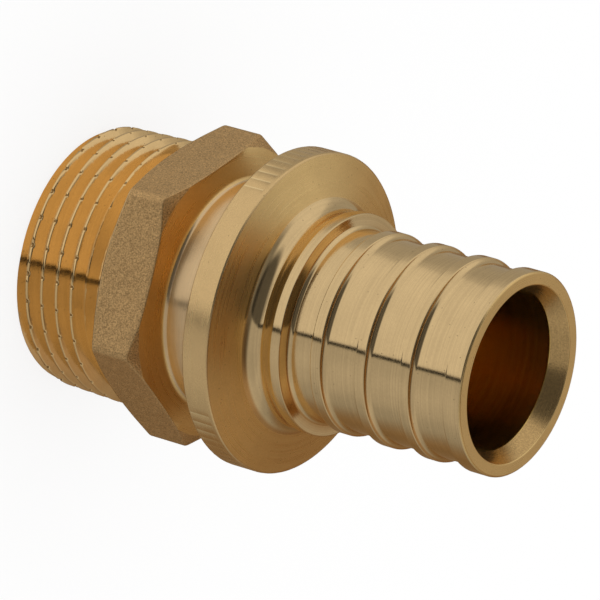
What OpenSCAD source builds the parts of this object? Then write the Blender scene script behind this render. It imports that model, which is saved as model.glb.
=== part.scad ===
// Brass adapter from a taper pipe thread to a plastic pipe.
// The pipe is widened and pushed over the ribbed spigot, and a sleeve is pressed
// over it up to the collar. A spanner grips the hexagon.
// The adapter stands on its threaded end, with its axis along +Z.
// All sizes are in millimetres.

/* [Thread] */
// Distance from one thread crest to the next
thread_pitch = 1.814; // [1.3:0.002:2.3]
// Crest diameter at the end face
thread_d = 25.84; // [24.6:0.02:26.2]
// Growth of the crest diameter for each millimetre of length
thread_taper = 0.0625; // [0:0.0025:0.1]
// Angle between the two flanks of a groove
thread_angle = 55; // [50:1:60]
// Height of the first crest on the +X side
first_crest = 1.08; // [0.8:0.01:1.6]
// Length from the end face to the hexagon
thread_len = 10.35; // [8:0.05:18]
// Radial size of the lead-in chamfer at the end face
lead_in = 0.42; // [0.2:0.02:0.9]
// Angle between the lead-in chamfer and the axis
lead_angle = 30; // [25:1:45]
// Width of the relief between thread and hexagon
relief_w = 1.9; // [1.5:0.05:3]
// Depth of the relief below the roots of the thread
relief_drop = 0.1; // [0.05:0.05:0.5]

/* [Hexagon] */
// Distance across the flats
hex_af = 27; // [26.6:0.1:32]
// Length of the hexagon along the axis, up to the edge of its turned face
hex_len = 5.6; // [4:0.05:12]
// Radius of the six rounded corners
hex_corner_r = 0.9; // [0.3:0.1:2]
// How far the turned face beside the neck reaches past the flats
face_overlap = 0.7; // [0.2:0.05:1]
// Rise of the turned face towards the neck
face_slope = 11; // [0:1:18]
// Slope of the turned chamfer beside the neck
face_chamfer = 27; // [10:1:35]
// Slope of the turned chamfer beside the thread
back_chamfer = 24; // [10:1:35]

/* [Neck] */
// Diameter of the neck
neck_d = 22.3; // [20:0.1:25]
// Length from the hexagon to the collar
neck_len = 6.2; // [4:0.05:12]
// Radius of the fillets at both ends
neck_fillet = 0.6; // [0.4:0.1:1.8]

/* [Collar] */
// Outer diameter
collar_d = 31.5; // [28:0.1:36]
// Thickness along the axis
collar_t = 2.9; // [1.5:0.05:6]
// Size of the bevel beside the spigot
collar_bevel = 0.3; // [0.1:0.05:0.7]

// Rise of the collar's face towards the spigot
collar_slope = 15; // [0:1:18]

/* [Stop ring] */
// Diameter of the root between collar and ring
root_d = 21; // [20.4:0.1:21.4]
// Length of the root
root_len = 3.68; // [3:0.02:6]
// Radius of the fillet between collar and root
root_fillet = 0.6; // [0.3:0.1:1.4]
// Length over which the root rises to the ring
root_rise_len = 1.1; // [0.7:0.05:1.5]
// Outer diameter of the ring
ring_d = 21.8; // [21.6:0.1:22.8]
// Width of the ring's flat top
ring_w = 1.1; // [0.5:0.05:1.5]

/* [Ribs] */
// Diameter of the spigot between the ribs
spigot_d = 18.8; // [18.2:0.1:19.4]
// Diameter over the ribs
rib_d = 19.8; // [19.5:0.1:21]
// Width of a rib's flat top
rib_w = 1.15; // [0.5:0.05:1.5]
// Distance from one rib to the next
rib_pitch = 5; // [3.5:0.1:7]
// Number of ribs before the mouth
rib_count = 3; // [1:1:5]
// Distance from the back of the stop ring to the first rib
ring_to_rib = 3.95; // [3:0.05:6]
// Width of the land at the mouth
mouth_w = 1.93; // [1:0.01:4]
// Size of the bevel around the mouth
mouth_bevel = 0.3; // [0.1:0.05:0.5]

/* [Bore] */
// Diameter of the bore
bore_d = 15.4; // [12:0.1:16.2]
// Diameter of the cone at the mouth
cone_d = 17.3; // [16.6:0.1:18]
// Depth of the cone at the mouth
cone_depth = 1.7; // [0.5:0.05:3]
// Size of the chamfer inside the threaded end
end_chamfer = 0.5; // [0.2:0.1:1]

/* [Hidden] */

brass = "#c2a26c";

$fn = 96;
// Steps of a round stretch in the half section
arc_steps = 10;
// How far a cutting shape reaches past the surface that it opens
past = 0.2;

// Heights of the shoulders, from the threaded end upwards
relief_z = thread_len - relief_w;
hex_top = thread_len + hex_len;
collar_z = hex_top + neck_len;
collar_top = collar_z + collar_t;
ring_z = collar_top + root_len;
first_rib = ring_z + ring_to_rib;
mouth_z = first_rib + rib_count * rib_pitch;
total = mouth_z + mouth_w;

// Section of the thread: crests and roots are flat over a sixth of the pitch
flat_w = thread_pitch / 6;
flank = tan(thread_angle / 2);
thread_depth = (thread_pitch - 2 * flat_w) / (2 * flank);
relief_r = crest_r(relief_z) - thread_depth - relief_drop;

rib_h = (rib_d - spigot_d) / 2;

// Outer edges of the two turned cones that rise towards the axis
face_r = hex_af / 2 + face_overlap;
bevel_r = collar_d / 2 - collar_bevel;

// Crest radius of the thread at height z
function crest_r(z) = (thread_d + z * thread_taper) / 2;

// Round stretch about [x, z], from one angle to another
function arc(x, z, r, from, to) =
    [for (i = [0 : arc_steps])
        let (a = from + (to - from) * i / arc_steps)
        [x + r * cos(a), z + r * sin(a)]];

// Hollow round stretch that climbs from radius r0 at height z0 to r1 at z1
function rise(r0, z0, r1, z1) =
    let (angle = 2 * atan2(r1 - r0, z1 - z0), r = (z1 - z0) / sin(angle))
    arc(r0 + r, z0, r, 180, 180 - angle);

// Fillet of radius r from a cone, which rises inwards from [edge_r, z], to a cylinder of radius x
function cone_fillet(edge_r, z, slope, x, r) =
    arc(x + r, z + (edge_r - x - r) * tan(slope) + r / cos(slope), r, 270 - slope, 180);

// Fillet that runs down from a shoulder at height z to the spigot between the ribs
function rib_fillet(z) = arc(rib_d / 2, z + rib_h, rib_h, 270, 180);

// One rib: a sharp step towards the collar, a fillet towards the mouth
function rib(z) = concat([[spigot_d / 2, z], [rib_d / 2, z]], rib_fillet(z + rib_w));

// Half section of the threaded end, before its grooves are cut
function thread_section() =
    let (lead_z = lead_in / tan(lead_angle), slope_z = relief_z + (thread_depth + relief_drop) * flank)
    [
        [0, 0], [crest_r(0) - lead_in, 0], [crest_r(lead_z), lead_z],
        [crest_r(relief_z), relief_z], [relief_r, slope_z]
    ];

// Fillet between the hexagon's turned face and the neck
function face_fillet() = cone_fillet(face_r, hex_top, face_slope, neck_d / 2, neck_fillet);

// Half section of the neck, which starts inside the hexagon, and of the collar
function neck_section() =
    let (foot = face_fillet()[0], hex_mid = thread_len + hex_len / 2)
    concat(
        [[relief_r, hex_mid], [foot.x, hex_mid]],
        face_fillet(),
        arc(neck_d / 2 + neck_fillet, collar_z - neck_fillet, neck_fillet, 180, 90),
        [[collar_d / 2, collar_z], [collar_d / 2, collar_top - collar_bevel], [bevel_r, collar_top]]
    );

// Half section of the spigot, from the collar to the mouth
function spigot_section() = concat(
    cone_fillet(bevel_r, collar_top, collar_slope, root_d / 2, root_fillet),
    rise(root_d / 2, ring_z - root_rise_len, ring_d / 2, ring_z),
    [[ring_d / 2, ring_z + ring_w]],
    rib_fillet(ring_z + ring_w),
    [for (i = [0 : rib_count - 1]) each rib(first_rib + i * rib_pitch)],
    [[spigot_d / 2, mouth_z], [rib_d / 2, mouth_z]],
    [[rib_d / 2, total - mouth_bevel], [rib_d / 2 - mouth_bevel, total], [0, total]]
);

// Section of one thread groove, on the crest line at height 0
module groove_section() {
    open_w = flat_w + 2 * (thread_depth + past) * flank;
    polygon([
        [past, -open_w / 2], [past, open_w / 2],
        [-thread_depth, flat_w / 2], [-thread_depth, -flat_w / 2]
    ]);
}

// Everything that is turned, as one revolved half section with its thread grooves
module turned_body() {
    rotate_extrude()
        difference() {
            polygon(concat(thread_section(), neck_section(), spigot_section()));
            for (z = [first_crest + thread_pitch / 2 : thread_pitch : relief_z])
                translate([crest_r(z), z])
                    groove_section();
        }
}

// Six flats between six round corners
module hexagon() {
    corner = (hex_af / 2 - hex_corner_r) / cos(30);
    linear_extrude(face_fillet()[0].y - thread_len + past) {
        polygon([
            for (k = [0 : 5], turn = [60 * k, 60 * k + 60])
                corner * [cos(60 * k + 30), sin(60 * k + 30)] + hex_corner_r * [cos(turn), sin(turn)]
        ]);
        for (k = [0 : 5])
            rotate(60 * k + 30)
                translate([corner, 0])
                    circle(hex_corner_r);
    }
}

// Round blank that leaves the turned face and the turned chamfers of the hexagon
module hex_blank() {
    back_r = hex_af / 2;
    reach = hex_af / sqrt(3) + past;
    foot = face_fillet()[0] - [0, thread_len];
    rotate_extrude()
        polygon([
            [0, 0], [back_r, 0], [reach, (reach - back_r) * tan(back_chamfer)],
            [reach, hex_len - (reach - face_r) * tan(face_chamfer)], [face_r, hex_len],
            foot, [0, foot.y]
        ]);
}

// Bore, with the cone at the mouth and a chamfer inside the threaded end
module bore() {
    cone_slope = (cone_d - bore_d) / cone_depth;
    translate([0, 0, -past])
        cylinder(h = total + 2 * past, d = bore_d);
    translate([0, 0, total - cone_depth])
        cylinder(h = cone_depth + past, d1 = bore_d, d2 = cone_d + cone_slope * past);
    translate([0, 0, -past])
        cylinder(h = end_chamfer + past, d1 = bore_d + 2 * (end_chamfer + past), d2 = bore_d);
}

module adapter() {
    color(brass)
        difference() {
            union() {
                turned_body();
                translate([0, 0, thread_len])
                    intersection() {
                        hexagon();
                        hex_blank();
                    }
            }
            bore();
        }
}

adapter();
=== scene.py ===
# %% [markdown]
# # Brass pipe adapter
# The real adapter is one piece of brass. It was pressed to a rough shape, blasted clean, and
# then turned and threaded on a lathe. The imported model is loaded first, as a fixed frame. In
# it the adapter stands on its threaded end, at z = 0, with its axis along +Z. The sizes below
# are in mm, and become Blender's metres in one place, where a ring is added to the mesh.

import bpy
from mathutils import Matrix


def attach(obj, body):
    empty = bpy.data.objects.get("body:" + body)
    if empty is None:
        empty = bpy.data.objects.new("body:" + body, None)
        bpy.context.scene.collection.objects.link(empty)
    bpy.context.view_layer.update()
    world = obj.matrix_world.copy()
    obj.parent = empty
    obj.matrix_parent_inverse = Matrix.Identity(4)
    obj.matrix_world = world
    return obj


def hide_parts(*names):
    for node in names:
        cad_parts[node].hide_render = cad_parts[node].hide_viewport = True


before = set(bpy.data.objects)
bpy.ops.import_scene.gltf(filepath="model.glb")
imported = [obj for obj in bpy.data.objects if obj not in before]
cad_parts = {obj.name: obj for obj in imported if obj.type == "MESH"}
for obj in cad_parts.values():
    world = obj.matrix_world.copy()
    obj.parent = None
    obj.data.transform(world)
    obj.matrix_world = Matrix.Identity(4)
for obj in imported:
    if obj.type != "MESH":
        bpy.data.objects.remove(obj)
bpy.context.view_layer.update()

import math

import bmesh
import bpy
import numpy as np
from mathutils import Matrix, Vector

# %% [markdown]
# ## Camera
# The photograph was taken with a long lens from about 0.6 m away, with the adapter lying on
# its side. A camera can be aimed by a constraint, but this view was fitted to the edges in
# the photograph, so its three directions are written down as they came out. The adapter
# stands here, so the camera is rolled until the axis runs across the picture as it does there.

# %% Camera
VIEW_FORWARD = Vector((-0.84260, 0.06388, -0.53475))
VIEW_UP = Vector((0.07292, -0.97028, -0.23079))
VIEW_RIGHT = Vector((-0.53360, -0.23346, 0.81288))
CAMERA_PLACE = (0.4901, -0.0383, 0.3352)
SENSOR_MM = 36
LENS_MM = 365.8

camera = bpy.data.objects.new("camera", bpy.data.cameras.new("camera"))
bpy.context.collection.objects.link(camera)
camera.data.sensor_width = SENSOR_MM
camera.data.lens = LENS_MM
turn = Matrix((VIEW_RIGHT, VIEW_UP, -VIEW_FORWARD)).transposed().to_4x4()
camera.matrix_world = Matrix.Translation(CAMERA_PLACE) @ turn
bpy.context.scene.camera = camera
bpy.context.scene.view_settings.view_transform = "Standard"
distance_mm = 1000 * Vector(CAMERA_PLACE).length
point_mm = distance_mm * SENSOR_MM / LENS_MM / 600
print("camera distance, in mm:", round(distance_mm), "one point of the picture, in mm:", round(point_mm, 3))

# %% [markdown]
# ## Rings and columns
# The adapter is turned and then threaded, so nearly every section across the axis is round.
# A Screw modifier could spin the turned part, but the hexagon, the thread and the dents need
# a radius that changes on the way round. The mesh is therefore a stack of rings, each with
# the same number of columns. A ring may gather some of its columns at a fine feature, such
# as a dent, and leave fewer between.

# %% Rings and columns
COLUMNS = 290
SEAM = 179.2

even_angles = SEAM + 360 / COLUMNS * np.arange(COLUMNS)


def gathered(centres, offsets):
    """Column angles with some moved to the given offsets round each centre, in degrees."""
    angles = even_angles.copy()
    half = len(offsets) // 2
    for centre in centres:
        centre = SEAM + (centre - SEAM) % 360
        nearest = int(round((centre - SEAM) * COLUMNS / 360))
        for k, offset in enumerate(offsets):
            angles[nearest - half + k] = centre + offset
    return angles


def apart(angles, centre):
    """Signed angle from a centre to each column, from -180 to 180 degrees."""
    return (angles - centre + 180) % 360 - 180


print("columns:", COLUMNS, "one every", round(360 / COLUMNS, 2), "degrees")

# %% [markdown]
# ## Thread
# A taper pipe thread is a right-hand helix. Its flanks are 55 degrees apart, and its radius
# grows by 1 in 32. It could be cut by a Boolean with a swept tool, but that leaves ragged
# slivers on so long a cut. Here the radius is worked out at each angle and height instead.
# The lathe leaves the least of three: the crests with their groove, the chamfer at the end
# and the slope into the relief. The groove starts behind the end's own edge, which is whole.

# %% Thread section
PITCH = 1.814
FLANK = math.tan(math.radians(27.5))
CREST_R = 12.92
CREST_FLAT = 0.22
DEPTH = 1.16
FIRST_CREST = 1.42
END_R = 12.42
LEAD_R = 12.5
LEAD_SLOPE = math.tan(math.radians(30))
RELIEF_Z = 8.45


def lesser(a, b, blend):
    """The smaller of two heights, with a small round where they cross."""
    return (a + b - np.sqrt((a - b) ** 2 + blend**2)) / 2


def crest_radius(z):
    """Radius over the crests, in mm."""
    return CREST_R + z / 32


def groove_radius(angles, z):
    """Radius of the threaded end without its dents, in mm."""
    off = (z - FIRST_CREST - PITCH * angles / 360) % PITCH
    off = np.minimum(off, PITCH - off)
    drop = -lesser(-(off - CREST_FLAT / 2) / FLANK, 0, 0.02)
    radius = np.maximum(crest_radius(z) - np.minimum(drop, DEPTH), END_R - z / FLANK)
    radius = lesser(radius, LEAD_R + z * LEAD_SLOPE, 0.04)
    return lesser(radius, crest_radius(RELIEF_Z) - (z - RELIEF_Z) / FLANK, 0.04)


print("thread depth, in mm:", DEPTH, "crests across the end, in mm:", 2 * CREST_R)

# %% [markdown]
# ## Dents in the crests
# The crests are roughened by small dents in line with the axis, so that hemp or tape holds on
# the thread. A bump in the material wouldn't show in the outline, so the dents are cut into
# the radius, and seven columns gather at each. On the first turn, where the chamfer has
# thinned the crest, they come out wider and deeper. That fades between 1.4 and 3.4 mm.

# %% Dents
DENTS = 29
DENT_STEP = 360 / DENTS
DENT_TURN = -0.8
DENT_HALF = 0.18
DENT_DEPTH = 0.11
FIRST_TURN_WIDER = 0.09
FIRST_TURN_DEEPER = 0.8

dent_angles = DENT_TURN + DENT_STEP * np.arange(DENTS)
thread_angles = gathered(dent_angles, [-1.35, -0.95, -0.5, 0, 0.5, 0.95, 1.35])


def thread_radius(angles, z):
    """Radius of the threaded end at each angle and height, in mm."""
    radius = groove_radius(angles, z)
    crest = crest_radius(z)
    first_turn = np.clip(1 - (z - 1.4) / 2, 0, 1)
    off = (angles - DENT_TURN) % DENT_STEP
    half = DENT_HALF + FIRST_TURN_WIDER * first_turn
    off = np.radians(np.minimum(off, DENT_STEP - off)) * crest / half
    depth = DENT_DEPTH * (1 + FIRST_TURN_DEEPER * first_turn)
    notch = crest - depth * np.clip(1 - off**2, 0, 1)
    return np.where(off < 1, np.minimum(radius, notch), radius)


print("dents:", DENTS, "a turn, one every", round(math.radians(DENT_STEP) * CREST_R, 2), "mm")

# %% [markdown]
# ## Rows of the thread
# Level rings would cut across a helix in steps. The grid of the thread follows the helix, so
# its rows lie along the crests, flanks and roots, closest at the crest's edge, where the
# light turns. A row that reaches the end face or the relief is held there, and the first row
# starts more than a pitch below the end face, so that the grid is whole at the seam too.

# %% Thread rows
crest_edge = CREST_FLAT / 2
root_edge = crest_edge + DEPTH * FLANK
relief_end = RELIEF_Z + (DEPTH + 0.1) * FLANK

half_rows = [0, crest_edge - 0.02, crest_edge, crest_edge + 0.02, crest_edge + 0.07]
half_rows += [crest_edge + 0.10, crest_edge + 0.13, root_edge]
row_offsets = sorted([-v for v in half_rows[1:]] + half_rows + [PITCH / 2])
seam_crest = (FIRST_CREST + PITCH * SEAM / 360) % PITCH
starts = [seam_crest + k * PITCH + v for k in range(-3, 8) for v in row_offsets]
starts = [s for s in starts if -PITCH - 1.2 <= s <= relief_end + PITCH]
print("rows to a turn:", len(row_offsets), "rows in all:", len(starts))

# %% [markdown]
# ## Half section of the turned body
# A lathe makes a body from its half section. It is written as points of radius, height and
# the size of the edge there, in the order in which a tool would follow the surface. A Bevel
# modifier would break every corner alike. Here each corner has its own few hundredths of a
# millimetre, as a deburred edge has, and each fillet its own radius.

# %% Shapes in the half section
EDGE = 0.05
RIB_EDGE = 0.09


def arc(x, z, r, start, end, steps=8):
    """Points of a round stretch about (x, z)."""
    turns = np.radians(np.linspace(start, end, steps + 1))
    return [(x + r * math.cos(t), z + r * math.sin(t), 0) for t in turns]


def cone_fillet(edge_r, edge_z, slope, x, r):
    """Fillet from a cone, which rises inwards from (edge_r, edge_z), to a cylinder of radius x."""
    turn = math.radians(slope)
    z = edge_z + (edge_r - x - r) * math.tan(turn) + r / math.cos(turn)
    return arc(x + r, z, r, 270 - slope, 180)


def eased(points):
    """Rounds each corner that has an edge size, with one more point on each side to hold the flat."""
    out = []
    for k, (x, z, edge) in enumerate(points):
        here = np.array((x, z))
        if edge == 0:
            out.append((x, z))
            continue
        before = np.array(points[k - 1][:2]) - here
        after = np.array(points[k + 1][:2]) - here
        start = here + before / np.linalg.norm(before) * edge
        end = here + after / np.linalg.norm(after) * edge
        middle = (start + 2 * here + end) / 4
        out += [here + 1.6 * (start - here), start, middle, end, here + 1.6 * (end - here)]
    return out


print("edges, in mm:", EDGE, "and", RIB_EDGE, "on the ribs")

# %% [markdown]
# ## Neck and collar
# The collar stops the sleeve that is pressed over the pipe. The neck is the waist behind it,
# where the arms of the press tool reach in and hold the collar. Both are plain turned forms,
# so they are lists of points, with a fillet where the tool's round nose leaves one.

# %% Neck and collar
FACE_R = 14.2
FACE_Z = 15.95
FACE_SLOPE = 11
NECK_R = 11.15
NECK_FILLET = 0.6
COLLAR_R = 15.75
COLLAR_Z = 22.15
COLLAR_TOP = 25.05
COLLAR_TOP_R = 15.45
COLLAR_SLOPE = 14

neck = cone_fillet(FACE_R, FACE_Z, FACE_SLOPE, NECK_R, NECK_FILLET)
neck += arc(NECK_R + NECK_FILLET, COLLAR_Z - NECK_FILLET, NECK_FILLET, 180, 98)
neck += [(NECK_R + NECK_FILLET, COLLAR_Z, 0)]
collar_edge = [(15.68, 24.98, 0), (15.64, 25.00, 0), (15.56, 25.02, 0)]
print("neck across, in mm:", 2 * NECK_R, "collar across, in mm:", 2 * COLLAR_R)

# %% [markdown]
# ## Spigot and bore
# The pipe is pushed over the spigot, up to the small ring. Each rib is sharp towards the
# collar, to bite, and has a fillet towards the mouth, over which the pipe slides on. At the
# mouth a cone leads into the bore, and the bore ends in a small chamfer at the threaded end.
# A loop writes the ribs, since they differ only in height.

# %% Spigot and bore
ROOT_R = 10.5
ROOT_FILLET = 1.5
RING_R = 10.9
RING_Z = 28.73
RING_W = 1.1
SPIGOT_R = 9.4
RIB_R = 9.9
RIB_W = 1.15
RIB_HEIGHTS = (32.68, 37.68, 42.68)
LAND_Z = 47.68
LENGTH = 49.61
MOUTH_R = 8.65
BORE_R = 7.7


def slide(z):
    """Fillet of a rib or the ring towards the mouth, from height z."""
    return arc(SPIGOT_R + 0.5, z + 0.5, 0.5, 262, 180, 6)


spigot = cone_fillet(COLLAR_TOP_R, COLLAR_TOP, COLLAR_SLOPE, ROOT_R, ROOT_FILLET)
spigot += [(ROOT_R, RING_Z - RING_W, 0.2), (RING_R, RING_Z, 0.1), (RING_R, RING_Z + RING_W, RIB_EDGE)]
spigot += slide(RING_Z + RING_W)
for z in RIB_HEIGHTS:
    spigot += [(SPIGOT_R, z, EDGE), (RIB_R, z, RIB_EDGE), (RIB_R, z + RIB_W, RIB_EDGE)] + slide(z + RIB_W)
spigot += [(SPIGOT_R, LAND_Z, EDGE), (RIB_R, LAND_Z, RIB_EDGE)]
spigot += [(RIB_R, LENGTH - 0.15, EDGE), (RIB_R - 0.15, LENGTH, EDGE), (MOUTH_R, LENGTH, EDGE)]
bore = [(BORE_R, LENGTH - 1.7, EDGE)] + [(BORE_R, z, 0) for z in (47, 40, 30, 20, 10, 1)]
bore += [(BORE_R, 0.5, EDGE), (BORE_R + 0.5, 0, EDGE), (11, 0, 0)]
print("ribs across, in mm:", 2 * RIB_R, "bore, in mm:", 2 * BORE_R)

# %% [markdown]
# ## Fine grooves on the rim
# Both sides of the collar's rim have fine grooves across it, one every 4.3 degrees, and its
# front and back are plain. They are only 0.03 mm deep, and a bump could draw them, but they
# catch the light along their edges, so each has three columns of its own. The rim's rings
# hold radius, height and the depth of the groove there.

# %% Rim and its grooves
TICK_STEP = 4.3
TICK_DEPTH = 0.03

rim = [(15.64, COLLAR_Z, 0), (15.71, 22.17, 0), (COLLAR_R, 22.25, 0), (COLLAR_R, 22.32, 0)]
rim += [(COLLAR_R, 22.40, TICK_DEPTH), (COLLAR_R, 24.50, TICK_DEPTH)]
rim += [(COLLAR_R, 24.58, 0), (COLLAR_R, 24.86, 0), (15.745, 24.90, 0)]
tick_angles = [side * (44.2 + TICK_STEP * k) for side in (1, -1) for k in range(24)]
rim_turns = gathered(tick_angles, [-0.32, 0, 0.32])
tick_columns = [int(np.argmin(np.abs(apart(rim_turns, a)))) for a in tick_angles]
print("grooves on the rim:", len(tick_columns))

# %% [markdown]
# ## Hexagon
# The spanner flats stay as they were pressed and blasted, while both end faces and their
# chamfers are turned. A six-sided cylinder with bevels would miss the curved line that a
# turned chamfer makes on each flat. Here the ring radius follows six flats and six round
# corners, and each end is cut at the height that its cone has at that radius.

# %% Hexagon outline
FLAT_R = 13.5
CORNER_R = 0.9
BACK_Z = 10.35
BACK_CHAMFER = math.tan(math.radians(24))
corner_offsets = [0.17, 0.5, 0.85, 1.15, 1.45, 1.75, 2.05, 2.4]
corner_offsets = [-v for v in reversed(corner_offsets)] + corner_offsets
corner_turns = gathered([30 + 60 * k for k in range(6)], corner_offsets)


def hexagon_radius(angles):
    """Distance from the axis to the outline with round corners, in mm."""
    off = np.radians(np.abs(apart(angles % 60, 30)))
    middle = (FLAT_R - CORNER_R) / math.cos(math.radians(30))
    flat = FLAT_R / np.cos(math.radians(30) - off)
    inside = np.maximum(CORNER_R**2 - (middle * np.sin(off)) ** 2, 0)
    corner = middle * np.cos(off) + np.sqrt(inside)
    tangent = math.radians(30) - math.atan2(middle * math.sin(math.radians(30)), FLAT_R)
    return np.where(off < tangent, corner, flat)


def face_height(r):
    """Height of the face towards the collar, with its chamfer outside FACE_R, in mm."""
    slope = np.where(r > FACE_R, 27, FACE_SLOPE)
    return FACE_Z + (FACE_R - r) * np.tan(np.radians(slope))


outline = hexagon_radius(corner_turns)
hexagon_back = BACK_Z + (outline - FLAT_R) * BACK_CHAMFER
hexagon_front = face_height(outline)
print("hexagon over the corners, in mm:", round(2 * float(outline.max()), 2))

# %% [markdown]
# ## One closed mesh
# The adapter is one piece of metal, so it is one closed mesh, with no faces inside it. The
# order is the thread's grid, then rings from the relief over the outside to the mouth, and
# back through the bore to the end face. Each face also notes its zone, which is the tool that
# made it, because that decides its finish later.

# %% Adding a ring
ZONES = ["thread", "flats", "turned", "collar", "neck", "dent", "faced", "bored", "tick", "mouth"]
points, quads, zones = [], [], []


def add_ring(radius, z, angles, zone=None):
    """Adds a ring, and joins it to the ring before it unless no zone is given."""
    turns = np.radians(angles)
    base = len(points)
    radius = np.broadcast_to(radius, turns.shape)
    z = np.broadcast_to(z, turns.shape)
    points.extend(np.stack((radius * np.cos(turns), radius * np.sin(turns), z), 1) / 1000)
    if zone is not None:
        for k in range(COLUMNS):
            n = (k + 1) % COLUMNS
            quads.append((base - COLUMNS + k, base - COLUMNS + n, base + n, base + k))
            zones.append(zone)


print("zones:", ZONES)

# %% [markdown]
# ## Thread grid
# Each row is one ring of points that climbs with the helix. The first groove runs out where
# it meets the slope behind the end edge. The rows in the groove, 0.7 to 1.11 mm below the
# next crest, are held at that meeting line, so that no face bridges the corner between the
# two.

# %% Points of the thread
GROOVE_START_R = 12.95
END_FACE_R = 12.93

climb = PITCH * (thread_angles - SEAM) / 360
for start in starts:
    z = start + climb
    to_next = PITCH - (start - seam_crest) % PITCH
    if 0.7 < to_next < 1.11:
        meeting = (z + to_next - crest_edge - (GROOVE_START_R - END_R) * FLANK) / 2
        z = np.maximum(z, np.minimum(meeting, (END_R - END_FACE_R + DEPTH) * FLANK))
    z = np.clip(z, 0, relief_end)
    add_ring(thread_radius(thread_angles, z), z, thread_angles)
print("points of the thread:", len(points))

# %% [markdown]
# Past the seam the helix has climbed one pitch, so there each row joins the row one pitch up.
# A face is in a dent if it lies on a crest, within 0.5 degrees of a dent's middle, or 0.75
# on the first turn.


# %% Faces of the thread
def in_dent(j, k, n):
    """Whether the face above row j, between columns k and n, lies in a dent."""
    middle = (starts[j] + starts[j + 1]) / 2
    height = middle + climb[k]
    off = abs(middle % PITCH - seam_crest)
    around = (thread_angles[k] + (thread_angles[n] - thread_angles[k]) % 360 / 2 - DENT_TURN) % DENT_STEP
    near = min(around, DENT_STEP - around) < (0.75 if height < 2.4 else 0.5)
    return near and min(off, PITCH - off) < crest_edge + 0.04 and 0.3 < height < RELIEF_Z


for j in range(len(starts) - 1):
    for k in range(COLUMNS):
        n = (k + 1) % COLUMNS
        up = len(row_offsets) if n == 0 else 0
        if j + 1 + up < len(starts):
            a = (j + up) * COLUMNS + n
            quads.append((j * COLUMNS + k, a, a + COLUMNS, (j + 1) * COLUMNS + k))
            zones.append("dent" if in_dent(j, k, n) else "thread")
print("faces of the thread:", len(quads), "of them in dents:", zones.count("dent"))

# %% [markdown]
# ## Relief and hexagon
# The relief is the groove between thread and hexagon, where the threading tool runs out. Its
# far side is a bright cone. Then come the hexagon's rings, with fifteen along the flats: they
# are flat, but evenly spaced faces keep the shading smooth up to the edges.

# %% Relief and hexagon
RELIEF_R = 11.92

add_ring(thread_radius(thread_angles, relief_end), relief_end, thread_angles)
for r, z, zone in ((RELIEF_R, 9.16, "thread"), (RELIEF_R, 9.26, "thread"), (13.36, 10.32, "thread"),
                   (13.40, 10.35, "turned")):
    add_ring(r, z, even_angles, zone)
add_ring(np.minimum(13.55, outline - 0.02), np.minimum(10.37, hexagon_back), corner_turns, "turned")
add_ring(outline - 0.08, hexagon_back - 0.03, corner_turns, "turned")
add_ring(outline - 0.02, hexagon_back + 0.02, corner_turns, "turned")
for t in np.linspace(0, 1, 15):
    z = (hexagon_back + 0.10) * (1 - t) + (hexagon_front - 0.08) * t
    add_ring(outline, z, corner_turns, "turned" if t == 0 else "flats")
add_ring(outline - 0.02, hexagon_front - 0.02, corner_turns, "flats")
add_ring(outline - 0.08, hexagon_front + 0.02, corner_turns, "flats")
for r, zone in ((14.25, "flats"), (14.15, "faced"), (13.30, "faced")):
    r = np.minimum(r, outline - 0.1)
    add_ring(r, face_height(r), corner_turns, zone)
print("rings so far:", len(points) // COLUMNS)

# %% [markdown]
# ## Rings of the neck and the collar
# These follow the half section. The first points of the neck still belong to the hexagon's
# faced side. A groove on the rim moves one column inwards, and the faces on both sides of
# that column belong to the burnished zone.

# %% Neck and rim
for k, (r, z) in enumerate(eased(neck)):
    add_ring(r, z, even_angles, "neck" if k > 4 else "faced")
for r, z, depth in rim:
    deep = np.zeros(COLUMNS)
    deep[tick_columns] = depth
    add_ring(r - deep, z, rim_turns, "collar")
    if depth:
        for k in tick_columns:
            zones[k - COLUMNS] = zones[k - 1 - COLUMNS] = "tick"
for r, z in eased(collar_edge):
    add_ring(r, z, even_angles, "collar")
print("rings so far:", len(points) // COLUMNS)

# %% [markdown]
# ## Rings of the spigot, bore and end face
# Faces across the axis are cut by a tool that feeds inwards, so they have a zone of their
# own, and so have the cone at the mouth and the bore. They are told apart by where they lie.
# The last two rings are the inner and outer edge of the thread's end.

# %% Spigot, bore and end face
for r, z in eased(spigot + bore):
    if r < 8.6 and z > LENGTH - 1.64:
        zone = "mouth"
    elif r > 11.6 or z > LENGTH - 0.11:
        zone = "faced"
    elif r < 8:
        zone = "bored"
    else:
        zone = "turned"
    add_ring(r, z, even_angles, zone)
end_edge = thread_radius(thread_angles, 0)
add_ring(end_edge - 0.06, 0, thread_angles, "turned")
add_ring(end_edge, 0, thread_angles, "thread")
print("rings in all:", len(points) // COLUMNS)

# %% [markdown]
# ## Close the mesh
# Rings that meet share their points, so merging doubles closes the body. Counting open edges
# shows that it worked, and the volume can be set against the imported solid's. Smooth shading
# with a limit of 50 degrees keeps the flanks of the thread and the ribs' steps crisp.

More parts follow.
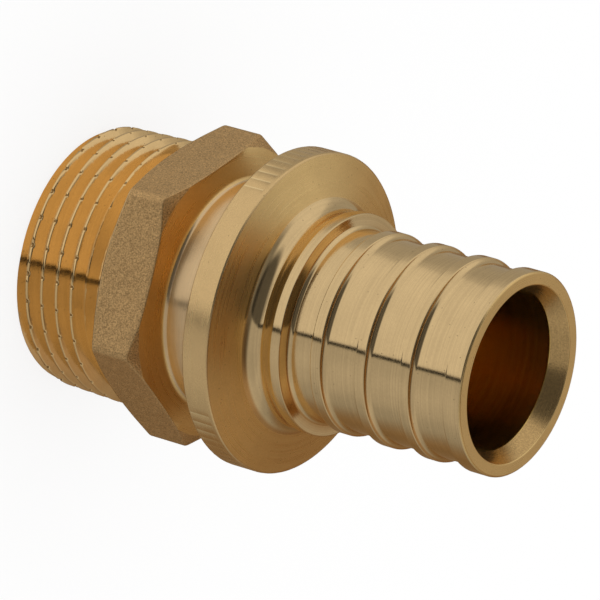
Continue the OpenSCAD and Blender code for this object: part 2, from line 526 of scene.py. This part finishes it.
# %% Close the mesh
mesh = bpy.data.meshes.new("adapter_brass")
mesh.from_pydata([tuple(p) for p in points], [], quads)
mesh.polygons.foreach_set("material_index", [ZONES.index(zone) for zone in zones])
work = bmesh.new()
work.from_mesh(mesh)
bmesh.ops.remove_doubles(work, verts=work.verts, dist=1e-7)
bmesh.ops.recalc_face_normals(work, faces=work.faces)
open_edges = sum(not edge.is_manifold for edge in work.edges)
loose = [v for v in work.verts if not v.link_faces]
bmesh.ops.delete(work, geom=loose, context="VERTS")
volume = work.calc_volume() * 1e9
triangles = sum(len(face.verts) - 2 for face in work.faces)
work.to_mesh(mesh)
work.free()
mesh.shade_smooth()
mesh.set_sharp_from_angle(angle=math.radians(50))
adapter = bpy.data.objects.new("adapter_brass", mesh)
bpy.context.collection.objects.link(adapter)
print("triangles:", triangles, "open edges:", open_edges, "loose:", len(loose), "mm3:", round(volume, 1))

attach(adapter, "root")
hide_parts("adapter")

# %% [markdown]
# ## Helpers for finishes
# Colours are written as sRGB hex values, as a paint program shows them, and one function
# turns them to the linear values that the nodes work in. One more adds a node with its
# settings and links, so that a finish reads as a list of what it is made of.


# %% Helpers for nodes
def linear(hex_colour):
    """Linear colour with alpha, from an sRGB hex value."""
    parts = [int(hex_colour[k : k + 2], 16) / 255 for k in (1, 3, 5)]
    return [p / 12.92 if p < 0.04045 else ((p + 0.055) / 1.055) ** 2.4 for p in parts] + [1]


def add(tree, kind, inputs=None, **settings):
    """Adds a node. Inputs are values, or outputs of other nodes to link."""
    node = tree.nodes.new("ShaderNode" + kind)
    for name, value in settings.items():
        setattr(node, name, value)
    for name, value in (inputs or {}).items():
        if isinstance(value, bpy.types.NodeSocket):
            tree.links.new(value, node.inputs[name])
        else:
            node.inputs[name].default_value = value
    return node


def new_material(name):
    """A material with an empty tree and its output."""
    material = bpy.data.materials.new(name)
    material.use_nodes = True
    tree = material.node_tree
    tree.nodes.clear()
    return material, tree, add(tree, "OutputMaterial")


WHITE = linear("#FFFFFF")
print("a mid grey, #808080, is", round(linear("#808080")[0], 3), "in linear light")

# %% [markdown]
# ## Tool lines
# A tool that cuts round the axis leaves fine rings. On a cylinder they differ in height and
# on a face in radius, so the sum of height and radius tells one ring from the next on both.
# A picture of real brass could be wrapped round the body, but it would smear on the steps.
# Noise that is squeezed across the rings and drawn out along them needs no wrapping.


# %% Tool lines
def tool_lines(tree, mm, length, spacing):
    """Noise drawn out round the axis, with the length and spacing of its lines in mm."""
    parts = add(tree, "SeparateXYZ", {0: mm}).outputs
    flat = add(tree, "CombineXYZ", {"X": parts["X"], "Y": parts["Y"]}).outputs[0]
    radius = add(tree, "VectorMath", {0: flat}, operation="LENGTH").outputs["Value"]
    along = add(tree, "Math", {0: radius, 1: parts["Z"]}, operation="ADD").outputs[0]
    stretched = add(tree, "CombineXYZ", {
        "X": add(tree, "Math", {0: parts["X"], 1: 1 / length}, operation="MULTIPLY").outputs[0],
        "Y": add(tree, "Math", {0: parts["Y"], 1: 1 / length}, operation="MULTIPLY").outputs[0],
        "Z": add(tree, "Math", {0: along, 1: 1 / spacing}, operation="MULTIPLY").outputs[0],
    }).outputs[0]
    return add(tree, "TexNoise", {"Vector": stretched, "Scale": 1.0, "Detail": 2.0}).outputs["Fac"]


print("finest lines that the picture can show, in mm:", round(point_mm, 1), "apart")

# %% [markdown]
# ## Tone
# No brass is one even colour. Every surface here has a few small pits, which are dark, and a
# broad change of tone from handling. Lines and grain darken it too, each by its own share.

# %% Tone
PITS_PER_MM = 1.1
BROAD_PER_MM = 0.35
BROAD_TONE = 0.06


def surface_tone(tree, mm, patterns):
    """How much of the colour is left, from pits, a broad change and (pattern, darkening) pairs."""
    pits = add(tree, "TexVoronoi", {"Vector": mm, "Scale": PITS_PER_MM, "Randomness": 1.0})
    shade = add(tree, "MapRange", {
        "Value": pits.outputs["Distance"], "From Min": 0.04, "From Max": 0.08, "To Min": 0.5, "To Max": 1.0,
    }).outputs[0]
    broad = add(tree, "TexNoise", {"Vector": mm, "Scale": BROAD_PER_MM, "Detail": 2.0}).outputs["Fac"]
    for pattern, darkening in [(broad, BROAD_TONE)] + patterns:
        tone = add(tree, "MapRange", {
            "Value": pattern, "From Min": 0.32, "From Max": 0.68, "To Min": 1 - darkening, "To Max": 1.0,
        }).outputs[0]
        shade = add(tree, "Math", {0: shade, 1: tone}, operation="MULTIPLY").outputs[0]
    return shade


print("pits, in mm:", round(2 * 0.06 / PITS_PER_MM, 2), "across, about", round(1 / PITS_PER_MM, 1), "apart")

# %% [markdown]
# ## Brass
# Brass is a yellow metal. It has a metallic value of 1, and its colour is the colour of its
# reflections, so its IOR stays at the default. In a groove the light is reflected more than
# once, and turns orange there by itself. What differs from zone to zone is mostly the tool
# that made the surface, and painted shade in the dents, on the cone at the mouth and in the
# hollows of the flats' grain, so one function makes them all, from sizes in mm.
# Lay is how far the lines stretch a highlight. A picture point is 0.1 mm on the adapter, so
# tool lines, which are really 0.03 to 0.08 mm apart, are drawn 0.10 to 0.16 mm apart, and
# where they hardly show, 0.3 to 0.6 mm.


# %% Brass for each zone
def brass(name, colour, roughness, lay, lines, grain):
    """Brass. Lines are (length, spacing, height, darkening), grain is (size, height, darkening)."""
    line_length, line_spacing, line_height, line_tone = lines
    grain_size, grain_height, grain_tone = grain
    material, tree, output = new_material(name)
    place = add(tree, "TexCoord").outputs["Object"]
    mm = add(tree, "VectorMath", {0: place, "Scale": 1000.0}, operation="SCALE").outputs[0]
    streaks = tool_lines(tree, mm, line_length, line_spacing)
    fine = add(tree, "TexNoise", {"Vector": mm, "Scale": 1 / grain_size, "Detail": 2.0}).outputs["Fac"]
    shade = surface_tone(tree, mm, [(streaks, line_tone), (fine, grain_tone)])
    base = add(tree, "VectorMath", {0: linear(colour)[:3], "Scale": shade}, operation="SCALE").outputs[0]
    rough = add(tree, "MapRange", {
        "Value": streaks, "From Min": 0.3, "From Max": 0.7,
        "To Min": roughness * 0.85, "To Max": roughness * 1.15,
    }).outputs[0]
    cut = add(tree, "Bump", {"Height": streaks, "Strength": 1.0, "Distance": line_height / 1000})
    bumps = add(tree, "Bump", {
        "Height": fine, "Strength": 1.0, "Distance": grain_height / 1000, "Normal": cut.outputs[0],
    })
    shader = add(tree, "BsdfPrincipled", {
        "Base Color": base, "Metallic": 1.0, "Roughness": rough, "Normal": bumps.outputs[0],
        "Anisotropic": lay, "Anisotropic Rotation": 0.25,
        "Tangent": add(tree, "Tangent", direction_type="RADIAL", axis="Z").outputs[0],
        "Specular Tint": linear("#FFF6E5"),
    })
    tree.links.new(shader.outputs[0], output.inputs["Surface"])
    return material


finishes = {}
print("zones that need a finish:", len(ZONES))

# %% [markdown]
# ## Turned finishes
# A sharp tool on a lathe leaves bright brass with fine lines round the axis. They stretch a
# highlight across the lines, so each rib shows a long soft band. Roughness is low, 0.12 to
# 0.22, where a polished metal has 0.05 and a cast one 0.5.

# %% Turned, threaded and bored brass
# The thread is cut cleanest: bright, with crisp reflections.
finishes["thread"] = brass(
    "cut_thread_brass", "#F0CA8E", 0.12, 0.75, (12, 0.12, 0.002, 0.06), (0.30, 0.001, 0.04))
# The spigot's lines are the plainest, and its highlights the longest.
finishes["turned"] = brass(
    "turned_brass", "#EAC993", 0.12, 0.7, (20, 0.10, 0.004, 0.12), (0.25, 0.0006, 0.05))
# The neck is cut with a coarser feed, so it is softer to the eye.
finishes["neck"] = brass(
    "turned_neck_brass", "#E8C696", 0.22, 0.5, (12, 0.16, 0.004, 0.08), (0.25, 0.001, 0.04))
# The bore is smooth and sees mostly itself, so it glows a dark orange.
finishes["bored"] = brass(
    "bored_brass", "#E4C070", 0.20, 0.1, (12, 0.60, 0.001, 0.03), (0.25, 0.001, 0.05))
print("turned finishes:", [finish.name for finish in finishes.values()])

# %% [markdown]
# ## Pressed and blasted finishes
# What the lathe never touched keeps the skin of the pressed blank. It has a grain and no
# lines, so its lay is 0. Shot is 0.1 to 0.2 mm across, and the picture can just show that
# size, so the grain of the flats is drawn as it is.

# %% Pressed and blasted brass
# Blasted flats are matt and sparkle: the grain is 0.045 mm high, and dark in its hollows, which is painted
# shade.
finishes["flats"] = brass(
    "shot_blasted_brass_painted_shade", "#DDB37A", 0.42, 0, (0.6, 0.60, 0.005, 0), (0.14, 0.045, 0.50))
# The rim is pressed smooth, with a fine skin that blurs reflections.
finishes["collar"] = brass(
    "pressed_collar_brass", "#E5C188", 0.25, 0, (2, 0.30, 0.003, 0.03), (0.14, 0.006, 0.10))
# The grooves on the rim are burnished, and shine as thin bright strokes.
finishes["tick"] = brass(
    "burnished_tick_brass", "#F0D098", 0.15, 0, (2, 0.30, 0.001, 0), (0.14, 0.001, 0.05))
# The dents get a darker, rougher brass, which is painted shade, so each reads as a dark speck.
finishes["dent"] = brass(
    "dents_painted_shade", "#9C7848", 0.45, 0, (2, 0.30, 0.002, 0), (0.10, 0.006, 0.10))
print("pressed finishes:", [finish.name for finish in list(finishes.values())[4:]])

# %% [markdown]
# ## Faced finishes
# A facing tool moves inwards, so its lines are a spiral that the eye sees as satin. With a
# lay they would flash like a disc, which the real faces don't, so the lay is 0 here too.
# Each zone then gets its finish, in the order of the zones.

# %% Faced brass
# Satin faces: the hexagon's side, the collar's front and the ring at the mouth.
finishes["faced"] = brass(
    "faced_brass", "#EAC584", 0.30, 0, (8, 0.20, 0.0005, 0), (0.16, 0.004, 0.10))
# The cone at the mouth is a darker, duller copy of the faced brass, with darker lines and grain: painted
# shade.
finishes["mouth"] = brass(
    "mouth_painted_shade_brass", "#DEB77A", 0.24, 0, (8, 0.12, 0.001, 0.10), (0.16, 0.004, 0.30))
for zone in ZONES:
    mesh.materials.append(finishes[zone])
print("finishes:", [finish.name for finish in mesh.materials])

# %% [markdown]
# ## Studio
# Polished metal shows the room more than itself. The real one had a wide soft light above, a
# table below that gave back less of it, and a thin dark gap between them on the left, which
# draws the long dark lines. Lamps and cards could make that, but they would light the floor
# unevenly as well. So the room is drawn in the world, by direction, and only reflections see
# it. The directions are fixed in the room, so a reflection changes as it should when the
# camera moves. The camera itself and all soft light see a plain white world of strength 1.

# %% Directions in the room
LEVEL_UP = (0.322, -0.947, 0)
ALONG_AXIS = (0, 0, 1)

world = bpy.data.worlds.new("studio")
bpy.context.scene.world = world
world.use_nodes = True
tree = world.node_tree
tree.nodes.clear()
direction = add(tree, "TexCoord").outputs["Generated"]
away, upward, right, level, axis = [
    add(tree, "VectorMath", {0: direction, 1: line}, operation="DOT_PRODUCT").outputs["Value"]
    for line in (VIEW_FORWARD, VIEW_UP, VIEW_RIGHT, LEVEL_UP, ALONG_AXIS)
]
print("directions measured in the room:", len(tree.nodes) - 1)

# %% [markdown]
# The light and the table each have their own levels, from behind the camera, at -1, to
# beyond the adapter, at 1. Both are dimmer there, as the far end of a studio is. The light
# is also dark right behind the camera, where that side of the room was unlit.

# %% Light above and table below
LIGHT_LEVELS = [(-1, 0.95), (0, 1.0), (0.28, 0.95), (0.42, 0.66), (0.55, 0.55), (1, 0.48)]
TABLE_LEVELS = [(-0.4, 0.60), (-0.2, 0.69), (0.03, 0.63), (0.28, 0.50), (0.64, 0.34), (0.8, 0.29), (1, 0.30)]

depth = add(tree, "MapRange", {"Value": away, "From Min": -1.0, "From Max": 1.0}).outputs[0]
ramps = []
for stops in (LIGHT_LEVELS, TABLE_LEVELS):
    node = add(tree, "ValToRGB", {"Fac": depth})
    node.color_ramp.interpolation = "EASE"
    while len(node.color_ramp.elements) < len(stops):
        node.color_ramp.elements.new(0.5)
    for element, (position, amount) in zip(node.color_ramp.elements, stops):
        element.position = (position + 1) / 2
        element.color = (amount, amount, amount, 1)
    ramps.append(node.outputs["Color"])
light_above, table_below = ramps
behind = add(tree, "MapRange", {
    "Value": away, "From Min": -0.80, "From Max": -0.55, "To Min": 0.14, "To Max": 1.0,
}, interpolation_type="SMOOTHSTEP").outputs[0]
light_above = add(tree, "VectorMath", {0: light_above, "Scale": behind}, operation="SCALE").outputs[0]
print("levels of the light and the table:", len(LIGHT_LEVELS), "and", len(TABLE_LEVELS))

# %% [markdown]
# The table is brighter on the right, towards the mouth. Far away it is warmer, and low on
# the right it lies in a brown shade, because there the brass sees its own reflection and
# shadow on it.

# %% Shades on the table
FAR_TABLE = linear("#FFDAAD")
TABLE_SHADE = linear("#CEB190")

nearer = add(tree, "MapRange", {
    "Value": right, "From Min": 0.3, "From Max": 0.8, "To Min": 1.0, "To Max": 1.4,
}).outputs[0]
table_below = add(tree, "VectorMath", {0: table_below, "Scale": nearer}, operation="SCALE").outputs[0]
farther, beside, under = [
    add(tree, "MapRange", {
        "Value": value, "From Min": start, "From Max": end,
    }, interpolation_type="SMOOTHSTEP").outputs[0]
    for value, start, end in ((away, 0.35, 0.75), (right, 0.4, 0.7), (upward, -0.2, -0.5))
]
shaded = add(tree, "Math", {0: beside, 1: under}, operation="MULTIPLY").outputs[0]
tints = ((farther, FAR_TABLE), (shaded, TABLE_SHADE))
for amount, tint in tints:
    tone = add(tree, "Mix", {0: amount, 6: WHITE, 7: tint}, data_type="RGBA").outputs[2]
    table_below = add(tree, "VectorMath", {0: table_below, 1: tone}, operation="MULTIPLY").outputs[0]
print("tints on the table:", len(tints))

# %% [markdown]
# The two halves meet at a soft horizon. The dark gap lies on it, on the left only, and is
# wider where the direction points down. A last factor dims what lies straight along the
# axis, so that the inside of the bore stays dark.

# %% Horizon and gap
over = add(tree, "MapRange", {
    "Value": level, "From Min": -0.02, "From Max": 0.02,
}, interpolation_type="SMOOTHSTEP").outputs[0]
room = add(tree, "Mix", {0: over, 6: table_below, 7: light_above}, data_type="RGBA").outputs[2]
wider = add(tree, "MapRange", {
    "Value": axis, "From Min": -0.59, "From Max": -0.55, "To Min": 0.55, "To Max": 1.0,
}).outputs[0]
off = add(tree, "Math", {0: level}, operation="ABSOLUTE").outputs[0]
off = add(tree, "Math", {0: off, 1: wider}, operation="MULTIPLY").outputs[0]
gap = add(tree, "MapRange", {
    "Value": off, "From Min": 0.022, "From Max": 0.042, "To Min": 1.0, "To Max": 0.0,
}).outputs[0]
left = add(tree, "MapRange", {
    "Value": right, "From Min": -0.6, "From Max": -0.3, "To Min": 1.0, "To Max": 0.0,
}).outputs[0]
gap = add(tree, "Math", {0: gap, 1: left}, operation="MULTIPLY").outputs[0]
room = add(tree, "Mix", {0: gap, 6: room, 7: linear("#101010")}, data_type="RGBA").outputs[2]
along = add(tree, "MapRange", {
    "Value": axis, "From Min": 0.75, "From Max": 0.92, "To Min": 1.0, "To Max": 0.3,
}, interpolation_type="SMOOTHSTEP").outputs[0]
room = add(tree, "VectorMath", {0: room, "Scale": along}, operation="SCALE").outputs[0]
print("gap, in degrees:", round(2 * math.degrees(math.asin(0.032)), 1), "across")

# %% [markdown]
# Light Path tells what kind of ray asks. A reflection gets the room, at a strength at which
# the brass comes out as bright as in the photograph, and every other ray gets plain white.

# %% World
ROOM_STRENGTH = 0.78

rays = add(tree, "LightPath").outputs
plain = add(tree, "Background", {"Color": WHITE, "Strength": 1.0}).outputs[0]
studio = add(tree, "Background", {"Color": room, "Strength": ROOM_STRENGTH}).outputs[0]
shown = add(tree, "MixShader", {0: rays["Is Glossy Ray"], 1: plain, 2: studio}).outputs[0]
add(tree, "OutputWorld", {"Surface": shown})
print("nodes in the world:", len(tree.nodes))

# %% [markdown]
# ## Floor
# The floor is a plain white sheet. Four fifths of its white is its own and the rest is light
# from the world, so it renders white and still keeps the soft shadow of the adapter. In a
# reflection it is clear, and the brass looks through it at the room below, because the real
# adapter lay on its side and had that room round it.

# %% Floor
FLOOR_HALF = 1.5
FLOOR_Z = -0.00005
OWN_WHITE = 0.8

floor_mesh = bpy.data.meshes.new("floor")
corners = [(-1, -1), (1, -1), (1, 1), (-1, 1)]
floor_mesh.from_pydata([(FLOOR_HALF * x, FLOOR_HALF * y, FLOOR_Z) for x, y in corners], [], [(0, 1, 2, 3)])
floor = bpy.data.objects.new("floor", floor_mesh)
bpy.context.collection.objects.link(floor)
material, tree, output = new_material("white_paper_floor")
rays = add(tree, "LightPath").outputs
lit = add(tree, "BsdfDiffuse", {"Color": linear("#7C7C7C")}).outputs[0]
own = add(tree, "Emission", {"Color": WHITE, "Strength": OWN_WHITE}).outputs[0]
paper = add(tree, "AddShader", {0: lit, 1: own}).outputs[0]
clear = add(tree, "BsdfTransparent").outputs[0]
shown = add(tree, "MixShader", {0: rays["Is Glossy Ray"], 1: paper, 2: clear}).outputs[0]
tree.links.new(shown, output.inputs["Surface"])
floor_mesh.materials.append(material)
print("floor, in m:", 2 * FLOOR_HALF, "square")
